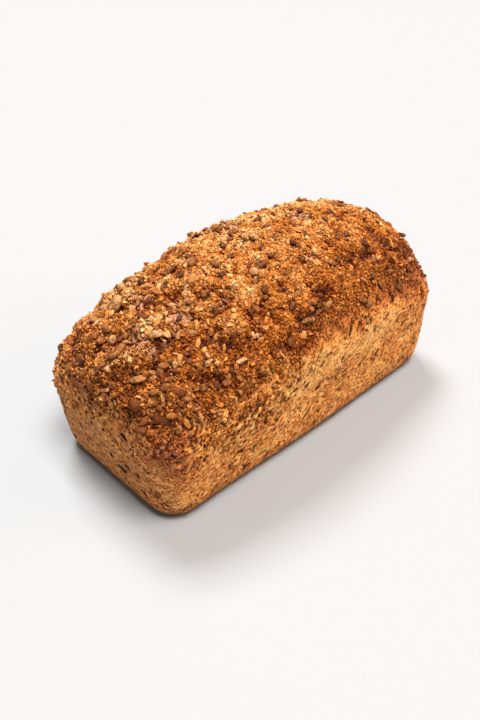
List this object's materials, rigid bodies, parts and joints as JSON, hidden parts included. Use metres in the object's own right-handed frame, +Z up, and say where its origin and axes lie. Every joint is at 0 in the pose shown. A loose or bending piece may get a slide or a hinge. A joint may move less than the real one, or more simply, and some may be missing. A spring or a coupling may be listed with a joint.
{
  "type": "flaxseed bread loaf",
  "caption": "Tin-baked seeded bread loaf with plain leaning walls, a high rounded crown and a baked-on topping of seeds and cracked grain; food to stand on a board or shelf",
  "frame": {"origin": "centre of the loaf's base, on the surface it stands on", "axes": "+X along the loaf's length, +Y over its width, +Z up"},
  "size_m": [0.2265, 0.1162, 0.1156],
  "materials": {
    "crust": "baked brown crust, dull, rough with pores, seeds and cracked grain"
  },
  "bodies": {
    "root": {"loaf": "crust"}
  },
  "joints": []
}
